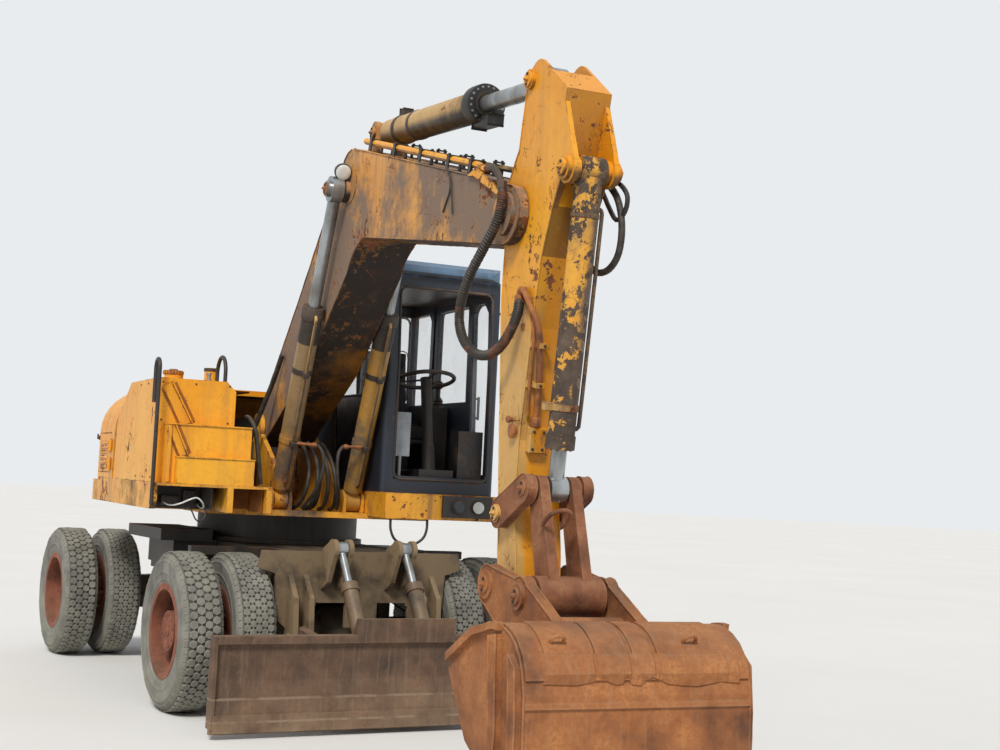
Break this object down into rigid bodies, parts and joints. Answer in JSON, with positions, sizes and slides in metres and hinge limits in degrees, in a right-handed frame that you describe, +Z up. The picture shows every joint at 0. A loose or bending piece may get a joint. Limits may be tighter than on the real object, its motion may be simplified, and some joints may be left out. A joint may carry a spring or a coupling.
{
  "type": "wheeled excavator",
  "caption": "Wheeled excavator of the 13 tonne class on twin tyres, with a dozer blade, a slewing upper body, cab, boom, arm and backhoe bucket.",
  "frame": {"origin": "bottom centre of the whole machine's bounding box, on the ground plane", "axes": "+X towards the blade end and the bucket, +Y to the left, +Z up"},
  "size_m": [7.8098, 2.6044, 3.8242],
  "materials": {
    "chassis_paint": "dusty black paint, worn to primer on edges",
    "tyre": "grey weathered rubber",
    "rim_rust": "rusted through red paint",
    "rusted_steel": "rust with scraped patches",
    "mud_paint": "mud covered black paint",
    "chrome_rod": "polished, a little dulled",
    "yellow_paint": "faded yellow paint, chipped and scratched",
    "machinery": "oily dark casting",
    "black_trim": "worn satin black",
    "cab_paint": "dark blue paint, scratched to rust",
    "glass": "clear, dusty",
    "seat_cloth": "worn grey cloth"
  },
  "bodies": {
    "chassis": {"chassis_frame": "chassis_paint", "slew_ring": "chassis_paint", "rigid_axle": "chassis_paint", "steer_axle": "chassis_paint"},
    "knuckle_right": {"knuckle_right": "chassis_paint"},
    "knuckle_left": {"knuckle_left": "chassis_paint"},
    "wheels_near_right": {"tyres_near_right": "tyre", "rims_near_right": "rim_rust"},
    "wheels_near_left": {"tyres_near_left": "tyre", "rims_near_left": "rim_rust"},
    "wheels_far_right": {"tyres_far_right": "tyre", "rims_far_right": "rim_rust"},
    "wheels_far_left": {"tyres_far_left": "tyre", "rims_far_left": "rim_rust"},
    "blade": {"blade": "rusted_steel"},
    "blade_barrels": {"blade_barrels": "mud_paint"},
    "blade_rods": {"blade_rods": "chrome_rod"},
    "upper": {"upper_frame": "yellow_paint", "counterweight": "yellow_paint", "engine_housing": "yellow_paint", "engine_block": "machinery", "valve_block": "machinery", "tank_steps": "yellow_paint", "handrails": "black_trim", "cab_shell": "cab_paint", "cab_glass": "glass", "seat": "seat_cloth", "cab_console": "black_trim", "lamps": "black_trim"},
    "hood": {"engine_hood": "yellow_paint"},
    "door_right": {"side_door_right": "yellow_paint"},
    "door_left": {"side_door_left": "yellow_paint"},
    "cab_door": {"cab_door": "cab_paint", "door_glass": "glass"},
    "boom": {"boom": "yellow_paint"},
    "lift_barrels": {"lift_barrels": "yellow_paint"},
    "lift_rods": {"lift_rods": "chrome_rod"},
    "crowd_barrel": {"crowd_barrel": "yellow_paint"},
    "crowd_rod": {"crowd_rod": "chrome_rod"},
    "arm": {"arm": "yellow_paint"},
    "curl_barrel": {"curl_barrel": "yellow_paint"},
    "curl_rod": {"curl_rod": "chrome_rod"},
    "guide_links": {"guide_links": "rusted_steel"},
    "bucket_link": {"bucket_link": "rusted_steel"},
    "bucket": {"bucket": "rusted_steel"}
  },
  "joints": [
    {"name": "swing", "type": "hinge", "parent": "chassis", "child": "upper", "pos_m": [-1.59795, 0.02816, 1.25], "axis": [0, 0, 1], "continuous": true},
    {"name": "roll_near_right", "type": "hinge", "parent": "chassis", "child": "wheels_near_right", "pos_m": [-0.34795, -1.06184, 0.507], "axis": [0, 1, 0], "continuous": true},
    {"name": "roll_near_left", "type": "hinge", "parent": "chassis", "child": "wheels_near_left", "pos_m": [-0.34795, 1.11816, 0.507], "axis": [0, 1, 0], "continuous": true},
    {"name": "steer_left", "type": "hinge", "parent": "chassis", "child": "knuckle_left", "pos_m": [-3.39795, 0.52816, 0.507], "axis": [0, 0, 1], "range_deg": [-28, 28]},
    {"name": "steer_right", "type": "hinge", "parent": "chassis", "child": "knuckle_right", "pos_m": [-3.39795, -0.47184, 0.507], "axis": [0, 0, 1], "range_deg": [-28, 28]},
    {"name": "roll_far_right", "type": "hinge", "parent": "knuckle_right", "child": "wheels_far_right", "pos_m": [-3.39795, -1.06184, 0.507], "axis": [0, 1, 0], "continuous": true},
    {"name": "roll_far_left", "type": "hinge", "parent": "knuckle_left", "child": "wheels_far_left", "pos_m": [-3.39795, 1.11816, 0.507], "axis": [0, 1, 0], "continuous": true},
    {"name": "blade_lift", "type": "hinge", "parent": "chassis", "child": "blade", "pos_m": [0.06705, 0.02816, 0.5], "axis": [0, -1, 0], "range_deg": [-8, 24]},
    {"name": "blade_barrel_tilt", "type": "hinge", "parent": "blade", "child": "blade_barrels", "pos_m": [0.55205, 0.02816, 0.52], "axis": [0, -1, 0], "range_deg": [-16.7, 6.6]},
    {"name": "blade_rod_slide", "type": "slide", "parent": "blade_barrels", "child": "blade_rods", "axis": [-0.5895, 0, 0.8078], "range_m": [-0.1825, 0.0635]},
    {"name": "cab_door_swing", "type": "hinge", "parent": "upper", "child": "cab_door", "pos_m": [-1.46468, 1.2388, 1.45], "axis": [0, 0, 1], "range_deg": [0, 95]},
    {"name": "side_door_right_swing", "type": "hinge", "parent": "upper", "child": "door_right", "pos_m": [-2.01201, -1.15587, 1.45], "axis": [0, 0, 1], "range_deg": [0, 100]},
    {"name": "side_door_left_swing", "type": "hinge", "parent": "upper", "child": "door_left", "pos_m": [-2.12511, 1.2846, 1.45], "axis": [0, 0, -1], "range_deg": [0, 100]},
    {"name": "hood_lift", "type": "hinge", "parent": "upper", "child": "hood", "pos_m": [-2.58104, 0.1038, 2.1373], "axis": [-0.0767, -0.9971, 0], "range_deg": [0, 60]},
    {"name": "boom_lift", "type": "hinge", "parent": "upper", "child": "boom", "pos_m": [-1.5481, 0.02432, 1.86], "axis": [0.0767, 0.9971, 0], "range_deg": [-16, 36]},
    {"name": "lift_barrel_tilt", "type": "hinge", "parent": "upper", "child": "lift_barrels", "pos_m": [-0.73051, -0.03859, 1.365], "axis": [-0.0767, -0.9971, 0], "range_deg": [-39.2, 18.3]},
    {"name": "lift_rod_slide", "type": "slide", "parent": "lift_barrels", "child": "lift_rods", "axis": [0.4001, -0.0308, 0.9159], "range_m": [-0.5931, 0.2658]},
    {"name": "arm_swing", "type": "hinge", "parent": "boom", "child": "arm", "pos_m": [2.62955, -0.29713, 2.88], "axis": [-0.0767, -0.9971, 0], "range_deg": [-36, 45]},
    {"name": "crowd_barrel_tilt", "type": "hinge", "parent": "boom", "child": "crowd_barrel", "pos_m": [0.3463, -0.12145, 3.745], "axis": [-0.0767, -0.9971, 0], "range_deg": [-2.6, 2.4]},
    {"name": "crowd_rod_slide", "type": "slide", "parent": "crowd_barrel", "child": "crowd_rod", "axis": [0.9936, -0.0765, -0.0834], "range_m": [-0.5044, 0.4043]},
    {"name": "bucket_curl", "type": "hinge", "parent": "arm", "child": "bucket", "pos_m": [2.73923, -0.30557, 1.06], "axis": [-0.0767, -0.9971, 0], "range_deg": [-62, 25]},
    {"name": "guide_turn", "type": "hinge", "parent": "arm", "child": "guide_links", "pos_m": [2.67442, -0.30058, 1.4], "axis": [-0.0767, -0.9971, 0], "range_deg": [-62.5, 26.1]},
    {"name": "link_turn", "type": "hinge", "parent": "guide_links", "child": "bucket_link", "pos_m": [2.94861, -0.32168, 1.53], "axis": [-0.0767, -0.9971, 0], "range_deg": [-17.3, 40.8]},
    {"name": "curl_barrel_tilt", "type": "hinge", "parent": "arm", "child": "curl_barrel", "pos_m": [3.15799, -0.33779, 3.03], "axis": [-0.0767, -0.9971, 0], "range_deg": [-2.5, 4.1]},
    {"name": "curl_rod_slide", "type": "slide", "parent": "curl_barrel", "child": "curl_rod", "axis": [-0.1382, 0.0106, -0.9903], "range_m": [-0.1258, 0.306]}
  ],
  "couplings": [
    {"joint": "steer_right", "follows": "steer_left", "ratio": 1},
    {"joint": "blade_barrel_tilt", "follows": "blade_lift", "ratio": -0.6328},
    {"joint": "blade_rod_slide", "follows": "blade_lift", "m_per_rad": -0.4262},
    {"joint": "lift_barrel_tilt", "follows": "boom_lift", "ratio": -1.0478},
    {"joint": "lift_rod_slide", "follows": "boom_lift", "m_per_rad": -0.9376},
    {"joint": "crowd_barrel_tilt", "follows": "arm_swing", "ratio": -0.0255},
    {"joint": "crowd_rod_slide", "follows": "arm_swing", "m_per_rad": -0.6371},
    {"joint": "guide_turn", "follows": "bucket_curl", "ratio": 0.9838},
    {"joint": "link_turn", "follows": "bucket_curl", "ratio": -0.6335},
    {"joint": "curl_barrel_tilt", "follows": "bucket_curl", "ratio": -0.0416},
    {"joint": "curl_rod_slide", "follows": "bucket_curl", "m_per_rad": -0.2791}
  ]
}
